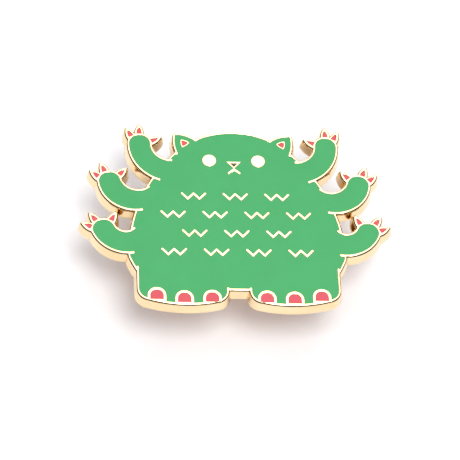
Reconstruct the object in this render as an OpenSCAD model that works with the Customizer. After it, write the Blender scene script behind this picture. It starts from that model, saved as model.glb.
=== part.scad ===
// Hard enamel pin: a struck, plated plate with raised lines and enamel pockets,
// two soldered posts and two butterfly clutches. It lies face up on its clutches.
// +X is to the viewer's right, +Y towards the head, +Z out of the face.

/* [Plate] */
// Thickness of the plate
plate_t = 1.7; // [1.5:0.1:2.2]
// Width of the raised metal lines
line_w = 0.38; // [0.3:0.02:0.46]
// Depth of the enamel pockets
pocket_d = 0.6; // [0.4:0.05:0.8]
// How far the middle of the drafted wall stands outside the edge of the face
wall_out = 0.14; // [0:0.02:0.2]

/* [Figure] */
// Radius of the top of the head
head_r = 10.4; // [10:0.1:10.8]
// Radius of the eyes
eye_r = 0.95; // [0.8:0.05:1.1]
// Distance of the eyes from the middle
eye_x = 3.2; // [2.6:0.1:3.6]
// Width of one V in the fur marks
tick_w = 1.5; // [1.3:0.05:1.5]
// Height of a fur mark
tick_h = 0.8; // [0.6:0.05:0.9]
// Length of a claw, half of it hidden in the paw
claw_l = 3.4; // [3:0.1:3.6]
// Width of a claw where it leaves the paw
claw_w = 1.35; // [1.2:0.05:1.5]
// Radius of a toe nail
toe_r = 0.78; // [0.7:0.02:0.84]

/* [Posts] */
// Distance of each post from the middle
post_x = 7.5; // [7:0.5:9]
// Radius of a post
post_r = 0.57; // [0.5:0.01:0.58]
// Length of a post under the plate
post_l = 7; // [6.5:0.25:7.25]
// Radius of a post's soldered head
pad_r = 2.5; // [2:0.1:3]
// Thickness of a post's soldered head
pad_t = 0.4; // [0.3:0.1:0.6]
// Depth of the seat in the plate's back that takes the head
pad_sink = 0.15; // [0.1:0.05:0.2]

/* [Clutches] */
// Height of a clutch
clutch_h = 5.4; // [5.4:0.1:5.8]
// Gap between the back of the plate and a clutch, for the cloth
cloth_gap = 2.4; // [2.2:0.1:2.6]
// Radius of a clutch's base
base_r = 5.6; // [5.4:0.1:5.8]
// Radius of a clutch's cap
cap_r = 3; // [2.9:0.05:3.1]
// Thickness of the clutch's sheet metal
sheet_t = 0.35; // [0.3:0.05:0.4]
// Width of a wing
wing_w = 3.6; // [3:0.1:3.8]

/* [Hidden] */
$fn = 96;

// heights above the surface that the clutches stand on
back_z = clutch_h + cloth_gap;
face_z = back_z + plate_t;
floor_z = face_z - pocket_d;

// shift that puts the middle of the plate's box over the origin
art_up = 2.11;
post_y = -0.3;

// head, trunk and hips, measured to the outer edge of the metal line
head_y = 10.6 - head_r;
side_x = -8.75;
side_y = -8.5;
side_r = 22.75;
hip_y = -3.3;
hip_r = 15.05;
neck_y = 7.35;
leg_top = -9.5;
crotch_y = -13.6;

// feet
foot_in = 1.25;
foot_out = 12.95;
foot_low = -15.75;
foot_mid = 6.6;
sole_r = 18;
heel_r = 1.7;
instep_r = 1.7;
heel_line = [-12, -10.3];
instep_line = [-14, -13.25];

// arms: name, paw centre, turn of the claws, then the outer and the inner bend,
// each as its radius, the direction in which it meets the paw and where its line ends
ARMS = [
    ["upper", [12.25, 8.4], 0, [6.05, 0, -71], [2.3, 0, -92]],
    ["middle", [16.2, 2.5], -22, [5, -8, -100], [2.05, -15, -128]],
    ["lower", [17, -4.75], -37, [5.05, -24, -98], [1.35, -24, -135]]
];
paw_r = 1.7;
arm_line_from = -50;
line_tuck = 0.01;
line_swell = 0.02;

// claws: name, place round the paw, lean, from the paw's middle to the claw's middle
CLAWS = [["outer", 44, 20], ["inner", 88, 3], ["thumb", 165, -12]];
claw_out = 1.55;
claw_blunt = 0.12;
nail_out = 2.08;
nail_l = 0.92;
nail_w = 0.56;

// ears are lens shapes whose tips stand out of the head
ear_at = [5.15, 6.75];
ear_turn = 53;
ear_l = 8.95;
ear_w = 4.2;
ear_blunt = 0.25;
ear_line = [[7.78, 8], [7.42, 6.95]];
ear_nail_at = [6.42, 8.6];
ear_bow = 1.6;
ear_nail_r = 0.27;
ear_line_r = 0.52;

// face
eye_y = 5.95;
nose_y = 5.85;
nose_w = 2.1;
nose_h = 1.2;
nose_line = 0.27;
mouth_y = 4.05;
mouth_w = 1.4;

// toes: middle of each nail's lower edge
TOES = [["outer", [10.4, -14.85]], ["middle", [6.95, -15.25]], ["inner", [3.45, -15.15]]];
toe_h = 1.25;
toe_rim = 0.45;

// fur marks: one mark repeated in evenly spaced rows, every other row moved half a step
fur_top = 0.4;
fur_rows = 4;
fur_row_step = 2.8;
fur_step = 5.4;
fur_in_row = 3;
fur_vs = 2;

SIDES = [["left", -1], ["right", 1]];
ENDS = [["front", -1], ["back", 1]];
arm_claws = [for (s = SIDES, a = ARMS, c = CLAWS) str("enamel_claw_", s[0], "_", a[0], "_", c[0])];
toe_nails = [for (s = SIDES, t = TOES) str("enamel_toe_", s[0], "_", t[0])];
ear_nails = [for (s = SIDES) str("enamel_ear_", s[0])];
posts = [for (s = SIDES) str("post_", s[0])];
clutches = [for (s = SIDES, p = ["base", "cap", "spring_wire", "wing_front", "wing_back"])
    str("clutch_", s[0], "_", p)];

function polar(r, a) = [r * cos(a), r * sin(a)];

// a lens of two equal arcs along X, with its tips cut back to a blunt end
module lens(l, w, out = 0, blunt = 0.05) {
    r = (l * l + w * w) / (4 * w);
    intersection() {
        translate([0, r - w / 2]) circle(r + out);
        translate([0, w / 2 - r]) circle(r + out);
        circle(l / 2 - blunt + out);
    }
}

// part of a ring between two angles, with a round end at the second one that swells a hair
module ring_arc(r, w, from, to) {
    low = min(from, to);
    high = max(from, to);
    difference() {
        intersection() {
            circle(r + w / 2);
            polygon([[0, 0], 2 * polar(r, low), 3 * polar(r, (low + high) / 2), 2 * polar(r, high)]);
        }
        circle(r - w / 2);
    }
    translate(polar(r, to)) circle(w / 2 + line_swell);
}

// straight line with round ends
module stroke(a, b, w) {
    d = b - a;
    translate(a) rotate(atan2(d.y, d.x)) translate([0, -w / 2]) square([norm(d), w]);
    translate(a) circle(w / 2);
    translate(b) circle(w / 2);
}

// height of a corner of radius r at x, where it runs smoothly into the sole
function corner_y(r, x) = foot_low + sole_r - sqrt(pow(sole_r - r, 2) - pow(x - foot_mid, 2));

// where that corner meets the sole
function meet_x(r, x) = foot_mid + (x - foot_mid) * sole_r / (sole_r - r);

module both_sides() {
    children();
    mirror([1, 0]) children();
}

// shapes of the figure, each moved out by the given amount from the line's outer edge
module head(out) {
    translate([0, head_y]) circle(head_r + out);
}

module trunk(out) {
    intersection() {
        translate([side_x, side_y]) circle(side_r + out);
        translate([-side_x, side_y]) circle(side_r + out);
        translate([0, hip_y]) circle(hip_r + out);
        translate([-20, crotch_y - out]) square([40, neck_y - crotch_y + out]);
    }
}

module foot(out) {
    instep = [foot_in + instep_r, corner_y(instep_r, foot_in + instep_r)];
    heel = [foot_out - heel_r, corner_y(heel_r, foot_out - heel_r)];
    in_x = meet_x(instep_r, instep.x);
    out_x = meet_x(heel_r, heel.x);
    intersection() {
        union() {
            translate(instep) circle(instep_r + out);
            translate(heel) circle(heel_r + out);
            translate([in_x, foot_low - 1]) square([out_x - in_x, leg_top - foot_low + 1]);
            translate([foot_in - out, instep.y]) square([instep_r + 1, leg_top - instep.y]);
            translate([heel.x - 1, heel.y]) square([heel_r + 1 + out, leg_top - heel.y]);
        }
        translate([foot_mid, foot_low + sole_r]) circle(sole_r + out);
    }
}

module ear(out) {
    translate(ear_at) rotate(ear_turn) lens(ear_l, ear_w, out, ear_blunt);
}

module arm(a, out) {
    big = a[3];
    small = a[4];
    translate(a[1]) {
        circle(paw_r + out);
        intersection() {
            difference() {
                translate(polar(paw_r - big[0], big[1])) circle(big[0] + out);
                translate(polar(-paw_r - small[0], small[1])) circle(small[0] - out);
            }
            rotate(big[1]) translate([-3 * big[0], -3 * big[0]]) square(3 * [2 * big[0], big[0]]);
        }
    }
}

module claw(a, c, out) {
    at = c[1] + a[2];
    translate(a[1] + polar(claw_out, at)) rotate(at + c[2]) lens(claw_l, claw_w, out, claw_blunt);
}

module figure(out) {
    head(out);
    trunk(out);
    both_sides() {
        foot(out);
        ear(out);
        for (a = ARMS) arm(a, out);
    }
}

// raised lines that run from the edge into the green field, set in a hair from the edge
module arm_lines(a) {
    mid = line_w / 2 + line_tuck;
    big = a[3];
    small = a[4];
    translate(a[1] + polar(paw_r - big[0], big[1]))
        ring_arc(big[0] - mid, line_w, arm_line_from, big[2]);
    translate(a[1] + polar(-paw_r - small[0], small[1]))
        ring_arc(small[0] + mid, line_w, arm_line_from, small[2]);
}

module fur_mark(vs) {
    for (i = [0:vs - 1]) {
        x = (i - vs / 2) * tick_w;
        stroke([x, tick_h / 2], [x + tick_w / 2, -tick_h / 2], line_w);
        stroke([x + tick_w / 2, -tick_h / 2], [x + tick_w, tick_h / 2], line_w);
    }
}

module fur() {
    for (row = [0 : fur_rows - 1]) {
        marks = fur_in_row + row % 2;
        first = -(marks - 1) / 2 * fur_step;
        for (i = [0 : marks - 1])
            translate([first + i * fur_step, fur_top - row * fur_row_step]) fur_mark(fur_vs);
    }
}

// triangle that points down, moved in by the given amount on every side
module nose(inset) {
    half = nose_w / 2;
    inner_r = half * nose_h / (half + norm([half, nose_h]));
    k = 1 - inset / inner_r;
    translate([0, nose_y - inner_r]) polygon([
        [-half * k, inner_r * k],
        [half * k, inner_r * k],
        [0, (inner_r - nose_h) * k]
    ]);
}

module mouth() {
    both_sides() stroke([0, nose_y - nose_h], [mouth_w / 2, mouth_y], line_w);
}

module toe(at, out, below) {
    r = toe_r + out;
    translate(at) intersection() {
        union() {
            translate([0, toe_h - toe_r]) circle(r);
            translate([-r, -below]) square([2 * r, toe_h - toe_r + below]);
        }
        translate([-2 * r, -below]) square(4 * r);
    }
}

// triangle with slightly bowed sides: the middle of the ear, or the line round it
module ear_nail(inner_r) {
    translate(ear_nail_at) rotate(ear_turn) intersection_for(a = [0, 120, 240])
        translate(polar(ear_bow - inner_r, a)) circle(ear_bow);
}

// half of a lens: flat at the paw and pointed at the tip
module claw_nail(a, c) {
    at = c[1] + a[2];
    translate(a[1] + polar(nail_out, at + c[2] / 3)) rotate(at + c[2]) translate([-nail_l / 2, 0])
        intersection() {
            lens(2 * nail_l, nail_w);
            translate([0, -nail_w]) square([2 * nail_l, 2 * nail_w]);
        }
}

module lines() {
    fur();
    nose(0);
    mouth();
    both_sides() {
        translate([eye_x, eye_y]) circle(eye_r);
        for (a = ARMS) arm_lines(a);
        for (t = TOES) toe(t[1], toe_rim, 1);
        ear_nail(ear_line_r);
        stroke(ear_line[0], ear_line[1], line_w);
        stroke([foot_out - line_w / 2, heel_line[0]], [foot_out - line_w / 2, heel_line[1]], line_w);
        stroke([foot_in + line_w / 2, instep_line[0]], [foot_in + line_w / 2, instep_line[1]], line_w);
    }
}

module green_area() {
    difference() {
        figure(-line_w);
        lines();
    }
}

// a flat layer of the figure's own drawing, between two heights
module layer(z0, z1) {
    translate([0, art_up, z0]) linear_extrude(z1 - z0) children();
}

module nails() {
    both_sides() {
        ear_nail(ear_nail_r);
        for (a = ARMS, c = CLAWS) claw_nail(a, c);
        for (t = TOES) toe(t[1], 0, 0);
    }
}

module base_plate() color("gold") difference() {
    layer(back_z, face_z) {
        figure(wall_out);
        both_sides() for (a = ARMS, c = CLAWS) claw(a, c, wall_out);
    }
    layer(floor_z, face_z + 1) green_area();
    layer(floor_z, face_z + 1) nails();
    layer(floor_z, face_z + 1) nose(nose_line);
    for (s = SIDES) translate([s[1] * post_x, post_y, back_z - 1])
        cylinder(h = 1 + pad_sink, r = pad_r);
}

module enamel_green() color("mediumseagreen") layer(floor_z, face_z) green_area();

module enamel_nose() color("saddlebrown") layer(floor_z, face_z) nose(nose_line);

module enamel_ear(side) color("tomato") layer(floor_z, face_z) mirror([1 - side, 0])
    ear_nail(ear_nail_r);

module enamel_claw(side, a, c) color("tomato") layer(floor_z, face_z) mirror([1 - side, 0])
    claw_nail(a, c);

module enamel_toe(side, t) color("tomato") layer(floor_z, face_z) mirror([1 - side, 0])
    toe(t[1], 0, 0);

// post: a flat head soldered into a shallow seat and a pin with a grip groove and a point
post_tip = 0.9;
groove_r = 0.44;
groove_z = 5;

module post(side) color("goldenrod") translate([side * post_x, post_y, back_z]) rotate_extrude()
    polygon([
        [0, pad_sink],
        [pad_r, pad_sink],
        [pad_r, pad_sink - pad_t],
        [post_r, pad_sink - pad_t],
        [post_r, -groove_z],
        [groove_r, -groove_z - 0.15],
        [groove_r, -groove_z - 0.6],
        [post_r, -groove_z - 0.75],
        [post_r, post_tip - post_l],
        [0.12, -post_l],
        [0, -post_l]
    ]);

// clutch, drawn with the post on the Z axis and its own lowest point at zero
hole_r = 0.64;
cap_z = clutch_h - sheet_t - 0.02;
cap_in = cap_r - sheet_t;
rim_h = 1.1;
flange_r = base_r - 0.5;
slot_w = wing_w + 0.5;
slot_top = clutch_h - 0.9;
pivot_z = clutch_h - 2.4;
jaw_z = clutch_h - 1.75;
jaw_y = 0.35;
jaw_r = 0.7;
wing_t = 0.4;
wing_bend = cap_r + 0.25;
wing_tip = [4.5, 0.75];
wire_r = 0.22;
wire_bend = 2;
wire_leg = 1.4;
wire_z = jaw_z + wire_r + 0.45;

module at_clutch(side) mirror([1 - side, 0, 0]) translate([post_x, post_y, 0]) children();

// disc with a curled rim that holds the cap's flange
module clutch_base() color("gold") rotate_extrude() polygon([
    [hole_r, clutch_h],
    [base_r - 0.2, clutch_h],
    [base_r, clutch_h - 0.2],
    [base_r, clutch_h - rim_h + 0.2],
    [base_r - 0.2, clutch_h - rim_h],
    [flange_r - 0.6, clutch_h - rim_h],
    [flange_r - 0.6, clutch_h - rim_h + 0.3],
    [flange_r + 0.05, clutch_h - rim_h + 0.3],
    [flange_r + 0.05, clutch_h - sheet_t],
    [hole_r, clutch_h - sheet_t]
]);

// domed cap with a flange and two slots for the wings
module clutch_cap() color("khaki") difference() {
    rotate_extrude() polygon([
        [0, 0],
        [cap_r - 1, 0],
        [cap_r - 0.3, 0.35],
        [cap_r, 1.1],
        [cap_r, cap_z - sheet_t],
        [flange_r, cap_z - sheet_t],
        [flange_r, cap_z],
        [cap_in, cap_z],
        [cap_in, 1.2],
        [cap_in - 0.3, 0.65],
        [cap_in - 1, sheet_t],
        [0, sheet_t]
    ]);
    translate([-slot_w / 2, -cap_r - 1, pivot_z - 0.15])
        cube([slot_w, 2 * cap_r + 2, slot_top - pivot_z + 0.15]);
}

// U-shaped wire over the roots of both jaws
module clutch_wire() color("silver") translate([0.3, 0, wire_z]) {
    for (end = ENDS) translate([-wire_leg, end[1] * wire_bend, 0]) rotate([0, 90, 0])
        cylinder(h = wire_leg, r = wire_r);
    rotate([0, 0, -90]) rotate_extrude(angle = 180) translate([wire_bend, 0]) circle(wire_r);
}

// wing with its jaw: one bent strip with a round notch for the post
module clutch_wing(end) color("gold") difference() {
    mirror([0, 1 - end, 0]) translate([-wing_w / 2, 0, 0]) rotate([90, 0, 90])
        linear_extrude(wing_w) polygon([
            [jaw_y, jaw_z],
            [wing_bend + wing_t, jaw_z],
            [wing_bend + wing_t, pivot_z],
            [wing_tip.x + wing_t, wing_tip.y],
            [wing_tip.x, wing_tip.y],
            [wing_bend, pivot_z],
            [wing_bend, jaw_z - wing_t],
            [jaw_y, jaw_z - wing_t]
        ]);
    translate([0, 0, jaw_z - 2]) cylinder(h = 4, r = jaw_r);
}

base_plate();
enamel_green();
enamel_nose();
for (s = SIDES) {
    enamel_ear(s[1]);
    for (a = ARMS, c = CLAWS)
        enamel_claw(s[1], a, c);
    for (t = TOES)
        enamel_toe(s[1], t);
    post(s[1]);
    at_clutch(s[1]) clutch_base();
    at_clutch(s[1]) clutch_cap();
    at_clutch(s[1]) clutch_wire();
    for (end = ENDS)
        at_clutch(s[1]) clutch_wing(end[1]);
}
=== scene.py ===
"""Hard enamel pin on its two butterfly clutches: finishes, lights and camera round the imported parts.

Metres throughout. The pin lies face up: +X to the viewer's right, +Y towards the head, +Z out of the face.
"""
import math

import bmesh
import bpy
from mathutils import Matrix, Vector


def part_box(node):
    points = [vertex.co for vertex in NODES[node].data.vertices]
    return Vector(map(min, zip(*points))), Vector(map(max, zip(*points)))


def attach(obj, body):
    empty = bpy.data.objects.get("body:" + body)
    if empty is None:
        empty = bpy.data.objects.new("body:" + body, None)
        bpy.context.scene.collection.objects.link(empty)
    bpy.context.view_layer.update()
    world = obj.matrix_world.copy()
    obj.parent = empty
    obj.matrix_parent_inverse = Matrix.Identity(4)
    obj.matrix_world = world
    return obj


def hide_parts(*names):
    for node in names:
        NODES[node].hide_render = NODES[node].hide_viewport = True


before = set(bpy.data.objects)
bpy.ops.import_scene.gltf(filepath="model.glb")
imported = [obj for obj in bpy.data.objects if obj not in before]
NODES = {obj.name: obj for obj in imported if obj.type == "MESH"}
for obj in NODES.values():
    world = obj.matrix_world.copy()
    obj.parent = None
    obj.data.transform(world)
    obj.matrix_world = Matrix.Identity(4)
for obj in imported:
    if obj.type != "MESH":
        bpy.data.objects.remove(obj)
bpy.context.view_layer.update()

MM = 0.001

# heights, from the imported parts
back_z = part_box("base_plate")[0].z
face_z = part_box("base_plate")[1].z

# struck edge of the plate, in mm: how far each ring stands out from the CAD wall, and how deep it lies
RIM = [(-0.3, 0), (-0.262, 0.015), (-0.2, 0.06), (-0.14, 0.12), (-0.095, 0.195),
       (-0.068, 0.285), (-0.05, 0.43), (0.04, 1.15), (0.12, 1.58), (0.09, 1.7)]
# soft edge that polishing leaves round each pocket, in the same terms
LIP = [(-0.075, 0), (-0.045, 0.014), (-0.015, 0.05), (0, 0.09)]
enamel_sink = 0.045 * MM   # the enamel ends a hair under the metal
enamel_lap = 0.02 * MM     # and reaches under the soft edge
broken_edge = 0.07 * MM    # bevel on the fittings
crease = math.radians(35)  # an edge bent more than this stays a hard edge

touch = 2e-6               # two heights closer than this are one level
grid = 1e-7                # points closer than this are one point
upright = 0.01             # most that a wall's normal may point up or down
parallel = 0.99999         # least cosine between two directions that count as one
sharpest_mitre = 0.5       # so that a pointed corner moves by no more than twice the offset

aim_y = 2.1 * MM           # the camera aims near this point of the face, on the middle line

# a Mix node's colour sockets share their names with its other sockets, so they go by number
COLOUR_A, COLOUR_B, COLOUR_OUT = 6, 7, 2


def linear(hex_colour):
    """An sRGB hex colour as linear RGBA."""
    parts = [int(hex_colour[i:i + 2], 16) / 255 for i in (1, 3, 5)]
    return [c / 12.92 if c <= 0.04045 else ((c + 0.055) / 1.055) ** 2.4 for c in parts] + [1.0]


def per_m(size_mm):
    """Texture scale for features of that size."""
    return 1 / (size_mm * MM)


def add(tree, kind, inputs=None, **settings):
    """Adds a node. Inputs go by name or number: one given a socket is linked, and any other is set."""
    new = tree.nodes.new(kind)
    for name, value in settings.items():
        setattr(new, name, value)
    for socket, value in (inputs or {}).items():
        if isinstance(value, bpy.types.NodeSocket):
            tree.links.new(value, new.inputs[socket])
        else:
            new.inputs[socket].default_value = value
    return new


# ---------------------------------------------------------------- mesh work

def welded(name):
    """The node's mesh with its CAD faces joined along their edges."""
    bm = bmesh.new()
    bm.from_mesh(NODES[name].data)
    bmesh.ops.remove_doubles(bm, verts=bm.verts, dist=grid)
    bm.normal_update()
    return bm


def is_wall(face):
    return abs(face.normal.z) < upright


def walls_at(edge):
    return [f for f in edge.link_faces if is_wall(f)]


def level_lips(bm, z):
    """Edges at height z where a flat face meets a wall, each with that wall."""
    found = {}
    for edge in bm.edges:
        if all(abs(v.co.z - z) < touch for v in edge.verts):
            wall = walls_at(edge)
            if len(wall) == 1 and len(edge.link_faces) == 2:
                found[edge] = wall[0]
    return found


def outward(lips):
    """For each vertex of the lips, the step that moves both of its walls out by one unit."""
    normals = {}
    for edge, wall in lips.items():
        for v in edge.verts:
            normals.setdefault(v, []).append(wall.normal)
    steps = {}
    for v, ns in normals.items():
        mean = sum(ns, Vector()).normalized()
        steps[v] = mean / max(mean.dot(ns[0]), sharpest_mitre)
    return steps


def place_key(co):
    """Tells which points lie above one another."""
    return round(co.x / grid), round(co.y / grid)


def wall_column(wall):
    """The faces in the plane of a wall that share an edge with it, and the wall itself."""
    beside = {f for edge in wall.edges for f in walls_at(edge)}
    return {f for f in beside if f.normal.dot(wall.normal) > parallel} | {wall}


def wrap(bm, lips, low_z, profile):
    """Replaces the walls under the lips by strips that follow the profile down to the level low_z."""
    steps = outward(lips)
    top_z = next(iter(steps)).co.z
    low = {place_key(v.co): v for v in bm.verts if abs(v.co.z - low_z) < touch}
    feet = {v: low[place_key(v.co)] for v in steps}
    start = {v: v.co.copy() for v in steps}
    edges = [tuple(e.verts) for e in lips]
    old_walls = {f for wall in lips.values() for f in wall_column(wall)}
    bmesh.ops.delete(bm, geom=list(old_walls), context="FACES_ONLY")
    rings = []
    for out, down in profile:
        z = top_z - down * MM
        if not rings:
            ring = {v: v for v in steps}
        elif abs(z - low_z) < touch:
            ring = feet
        else:
            ring = {v: bm.verts.new(start[v]) for v in steps}
        for v, new in ring.items():
            new.co = start[v] + steps[v] * out * MM
            new.co.z = z
        rings.append(ring)
    if rings[-1] is not feet:
        rings.append(feet)
    for upper, lower in zip(rings, rings[1:]):
        for a, b in edges:
            bm.faces.new([upper[a], upper[b], lower[b], lower[a]])
    bm.normal_update()


def finish_mesh(bm, name):
    """Makes the object. Faces are smooth, with hard edges round level faces and at creases."""
    bmesh.ops.recalc_face_normals(bm, faces=bm.faces)
    for f in bm.faces:
        f.smooth = True
    for e in bm.edges:
        level = {abs(f.normal.z) > parallel for f in e.link_faces}
        e.smooth = len(level) == 1 and e.calc_face_angle(0) < crease
    mesh = bpy.data.meshes.new(name)
    bm.to_mesh(mesh)
    bm.free()
    piece = bpy.data.objects.new(name, mesh)
    bpy.context.collection.objects.link(piece)
    return piece


def struck_plate():
    """The plate with a drafted, round-shouldered edge and softened pocket edges."""
    bm = welded("base_plate")
    lips = level_lips(bm, face_z)
    low = {e: min(v.co.z for v in wall.verts) for e, wall in lips.items()}
    pocket_z = max(low.values())
    wrap(bm, {e: w for e, w in lips.items() if low[e] < back_z + touch}, back_z, RIM)
    # the struck edge slopes now, so the only lips left are the pockets'
    wrap(bm, level_lips(bm, face_z), pocket_z, LIP)
    return finish_mesh(bm, "struck_plate")


def filled_enamel(name):
    """An enamel fill, a hair under the metal and lapped under its soft edge."""
    bm = welded(name)
    for v, step in outward(level_lips(bm, face_z)).items():
        v.co += step * enamel_lap
    for v in bm.verts:
        if abs(v.co.z - face_z) < touch:
            v.co.z -= enamel_sink
    return finish_mesh(bm, name.replace("enamel", "fill"))


# ---------------------------------------------------------------- finishes

def new_finish(name, **surface):
    """A material with a Principled surface, and its object-space position for the patterns."""
    material = bpy.data.materials.new(name)
    material.use_nodes = True
    tree = material.node_tree
    shader = tree.nodes["Principled BSDF"]
    for socket, value in surface.items():
        shader.inputs[socket.replace("_", " ")].default_value = value
    place = add(tree, "ShaderNodeTexCoord").outputs["Object"]
    return material, tree, shader, place


def noise(tree, place, size_mm, **inputs):
    """A soft random pattern with features of that size."""
    inputs = {"Vector": place, "Scale": per_m(size_mm), **inputs}
    return add(tree, "ShaderNodeTexNoise", inputs).outputs["Fac"]


def drawn_out(tree, place, squeeze):
    """Places for a pattern squeezed by so much along each axis, which leaves it long along the others."""
    return add(tree, "ShaderNodeMapping", {"Vector": place, "Scale": squeeze}).outputs["Vector"]


def spread(tree, value, low, high, start=0.3, end=0.7):
    """A value that runs from low to high as the pattern runs from start to end."""
    inputs = {"Value": value, "From Min": start, "From Max": end, "To Min": low, "To Max": high}
    return add(tree, "ShaderNodeMapRange", inputs).outputs["Result"]


def between(tree, share, one, other):
    """A colour between two, by share. Each is a hex colour or another node's colour."""
    a, b = (linear(c) if isinstance(c, str) else c for c in (one, other))
    mix = add(tree, "ShaderNodeMix", {"Factor": share, COLOUR_A: a, COLOUR_B: b}, data_type="RGBA")
    return mix.outputs[COLOUR_OUT]


def relief(tree, shader, *layers):
    """Stacks bumps, each given as its height pattern and its real depth in millimetres."""
    normal = None
    for height, depth in layers:
        inputs = {"Height": height, "Distance": depth * MM, "Strength": 1.0}
        if normal is not None:
            inputs["Normal"] = normal
        normal = add(tree, "ShaderNodeBump", inputs).outputs["Normal"]
    tree.links.new(normal, shader.inputs["Normal"])


def polished_gold_plate():
    # Struck iron plated with gold and buffed on a wheel: near-mirror, with slight orange-peel
    # from the strike, faint buffing marks, and warmer, duller metal on the sandblasted back.
    m, tree, shader, place = new_finish("polished gold plating on struck plate", Metallic=1.0)
    facing = add(tree, "ShaderNodeTexCoord").outputs["Normal"]
    up = add(tree, "ShaderNodeSeparateXYZ", {"Vector": facing}).outputs["Z"]
    back = spread(tree, up, 1, 0, -0.9, -0.6)
    wash = spread(tree, noise(tree, place, 3.5, Detail=3.0), 0, 1)
    buffed_tint = between(tree, wash, "#FAE2B8", "#F4D6A6")
    blasted_tint = between(tree, wash, "#E9BE7C", "#DDAF6B")
    tree.links.new(between(tree, back, buffed_tint, blasted_tint), shader.inputs["Base Color"])
    handling = noise(tree, place, 1.2, Detail=5.0, Roughness=0.6)
    buffed = spread(tree, handling, 0.07, 0.17)
    blasted = spread(tree, handling, 0.34, 0.46)
    rough = add(tree, "ShaderNodeMix", {"Factor": back, "A": buffed, "B": blasted}).outputs["Result"]
    tree.links.new(rough, shader.inputs["Roughness"])
    peel = noise(tree, place, 1.6, Detail=2.0)
    grit = noise(tree, place, 0.12, Detail=2.0)
    grit_on_back = add(tree, "ShaderNodeMath", {0: grit, 1: back}, operation="MULTIPLY").outputs[0]
    buffing = noise(tree, drawn_out(tree, place, (1, 14, 1)), 0.9, Detail=4.0)
    relief(tree, shader, (peel, 0.003), (buffing, 0.0012), (grit_on_back, 0.03))
    return m


def glassy_enamel(name, body, shade, fleck):
    # Baked and ground flush, then buffed: a hard glossy skin over an opaque, even colour,
    # with a faint cloudiness in the colour, fine pinholes and barely-there polishing marks.
    m, tree, shader, place = new_finish(name, IOR=1.5)
    cloud = noise(tree, place, 5.0, Detail=3.0)
    clouded = between(tree, spread(tree, cloud, 0, 1), body, shade)
    cells = add(tree, "ShaderNodeTexVoronoi", {"Vector": place, "Scale": per_m(0.55)}).outputs["Distance"]
    pinhole = spread(tree, cells, 1, 0, 0.04, 0.09)
    tree.links.new(between(tree, pinhole, clouded, fleck), shader.inputs["Base Color"])
    smear = noise(tree, place, 1.8, Detail=6.0, Roughness=0.65)
    tree.links.new(spread(tree, smear, 0.12, 0.24), shader.inputs["Roughness"])
    swell = noise(tree, place, 7.0, Detail=1.0)
    marks = noise(tree, drawn_out(tree, place, (1, 10, 1)), 0.7, Detail=5.0)
    relief(tree, shader, (swell, 0.02), (marks, 0.0008), (pinhole, -0.003))
    return m


def plated_fitting(name, body, shade, rough, grain_mm, grain_deep, squeeze):
    # Sheet pressed to shape, or drawn wire, then plated in a barrel: softer shine than the face,
    # with the grain of the rolling or drawing and small dents from tumbling.
    m, tree, shader, place = new_finish(name, Metallic=1.0)
    wash = noise(tree, place, 1.7, Detail=3.0)
    tree.links.new(between(tree, spread(tree, wash, 0, 1), body, shade), shader.inputs["Base Color"])
    rub = noise(tree, place, 0.6, Detail=5.0, Roughness=0.6)
    tree.links.new(spread(tree, rub, *rough), shader.inputs["Roughness"])
    grain = noise(tree, drawn_out(tree, place, squeeze), grain_mm, Detail=4.0)
    dents = noise(tree, place, 1.1, Detail=2.0)
    relief(tree, shader, (dents, 0.006), (grain, grain_deep))
    return m


gold = polished_gold_plate()
green = glassy_enamel("hard enamel, leaf green", "#06A650", "#0AAA55", "#068C43")
pink = glassy_enamel("hard enamel, coral pink", "#E0384A", "#E54254", "#BE2A3C")
dark = glassy_enamel("hard enamel, dark brown", "#3A2420", "#43302A", "#241412")
post_metal = plated_fitting("gold-plated steel wire, turned", "#E6C188", "#D6AC6E",
                            rough=(0.16, 0.28), grain_mm=0.2, grain_deep=0.0004, squeeze=(1, 1, 9))
brass = plated_fitting("plated brass sheet, pressed", "#F0C983", "#E2B468",
                       rough=(0.18, 0.3), grain_mm=0.35, grain_deep=0.0005, squeeze=(1, 12, 1))
spring = plated_fitting("drawn spring steel, plated", "#D9D2C4", "#C4BBAA",
                        rough=(0.18, 0.3), grain_mm=0.15, grain_deep=0.0003, squeeze=(9, 1, 1))
FILLS = {"enamel_green": ("green_enamel", green), "enamel_nose": ("dark_enamel", dark)}


def finish_with(piece, material):
    piece.data.materials.clear()
    piece.data.materials.append(material)


# ---------------------------------------------------------------- pieces

plate = struck_plate()
finish_with(plate, gold)
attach(plate, "pin")
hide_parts("base_plate")

for name in sorted(NODES):
    if name.startswith("enamel_"):
        fill = filled_enamel(name)
        slot, enamel = FILLS.get(name, ("pink_enamel", pink))
        finish_with(fill, enamel)
        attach(fill, "pin")
        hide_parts(name)
    elif name != "base_plate":
        # pressed and turned metal: every sharp edge is broken a little, except on the round wire
        piece = NODES[name]
        metal = post_metal if name.startswith("post") else spring if name.endswith("wire") else brass
        for holder in piece.material_slots:
            holder.material = metal
        weld = piece.modifiers.new("join faces", "WELD")
        weld.merge_threshold = 0.001 * MM
        if not name.endswith("wire"):
            bevel = piece.modifiers.new("broken edges", "BEVEL")
            bevel.width = broken_edge
            bevel.segments = 2
            bevel.limit_method = "ANGLE"
            bevel.angle_limit = crease


# ---------------------------------------------------------------- stage

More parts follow.
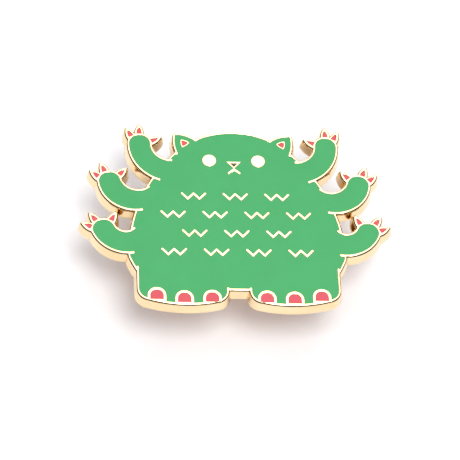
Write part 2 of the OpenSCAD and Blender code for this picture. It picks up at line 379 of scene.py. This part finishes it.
def stage_floor():
    """A sheet four metres wide, under everything."""
    bm = bmesh.new()
    bmesh.ops.create_grid(bm, x_segments=2, y_segments=2, size=2.0)
    floor = finish_mesh(bm, "floor")
    # Milky sheet: near-white and matt, with a faint cloudiness. Its cool glow is painted light, not a
    # lamp:
    # it lifts the shadows cast on the floor and cools the warm light the gold throws onto it.
    m, tree, shader, place = new_finish("white acrylic floor with painted glow",
                                        Roughness=0.7, Emission_Strength=0.25)
    shader.inputs["Emission Color"].default_value = linear("#E9EEFF")
    milk = spread(tree, noise(tree, place, 2.5, Detail=4.0), 0, 1)
    tree.links.new(between(tree, milk, "#F4F2F1", "#F1EFEE"), shader.inputs["Base Color"])
    finish_with(floor, m)


def room():
    """A white room with a dark band above the horizon, for the polished edges to mirror."""
    world = bpy.data.worlds.new("room")
    bpy.context.scene.world = world
    world.use_nodes = True
    tree = world.node_tree
    way = add(tree, "ShaderNodeTexCoord").outputs["Generated"]
    height = add(tree, "ShaderNodeSeparateXYZ", {"Vector": way}).outputs["Z"]
    walls = add(tree, "ShaderNodeValToRGB", {"Fac": height})
    stops = walls.color_ramp.elements
    # stops go by the sine of the height above the horizon: the dark band is from 13 to 40 degrees
    stops[0].position, stops[1].position = 0.17, 0.86
    stops[0].color, stops[1].color = linear("#E9E6E2"), linear("#FFFFFF")
    for position in (0.22, 0.64):
        stops.new(position).color = linear("#0D0A08")
    back = tree.nodes["Background"]
    tree.links.new(walls.outputs["Color"], back.inputs["Color"])
    back.inputs["Strength"].default_value = 0.9


def softbox(name, way, distance, size, watts):
    """A white area light that faces the middle of the pin from the direction given."""
    light = bpy.data.lights.new(name, "AREA")
    light.shape = "RECTANGLE"
    light.size, light.size_y = size
    light.energy = watts
    lamp = bpy.data.objects.new(name, light)
    lamp.location = Vector(way).normalized() * distance + Vector((0, 0, face_z))
    lamp.rotation_euler = Vector(way).to_track_quat("Z", "Y").to_euler()
    bpy.context.collection.objects.link(lamp)


def camera():
    """Looks down at the pin from the front and a little from the left, rolled to one side."""
    turn, rise, roll = math.radians(-10.6), math.radians(57.9), math.radians(9.9)
    distance, aside, along = 258 * MM, 0.7 * MM, 3.95 * MM
    towards = Vector((math.sin(turn) * math.cos(rise), -math.cos(turn) * math.cos(rise), math.sin(rise)))
    level = Vector((math.cos(turn), math.sin(turn), 0))
    up = towards.cross(level)
    right = level * math.cos(roll) + up * math.sin(roll)
    top = up * math.cos(roll) - level * math.sin(roll)
    view = bpy.data.cameras.new("camera")
    view.lens = 156.5
    view.sensor_width = 36
    view.clip_start = 0.01
    eye = bpy.data.objects.new("camera", view)
    at = Vector((0, aim_y, face_z)) + towards * distance - right * aside - top * along
    eye.matrix_world = Matrix.Translation(at) @ Matrix((right, top, towards)).transposed().to_4x4()
    bpy.context.collection.objects.link(eye)
    bpy.context.scene.camera = eye


stage_floor()
room()
softbox("softbox behind", way=(0.1, 0.52, 0.85), distance=0.6, size=(0.34, 0.28), watts=0.55)
softbox("key over the front", way=(0.12, -0.27, 0.93), distance=0.6, size=(0.3, 0.3), watts=2.1)
camera()
bpy.context.scene.view_settings.view_transform = "Standard"
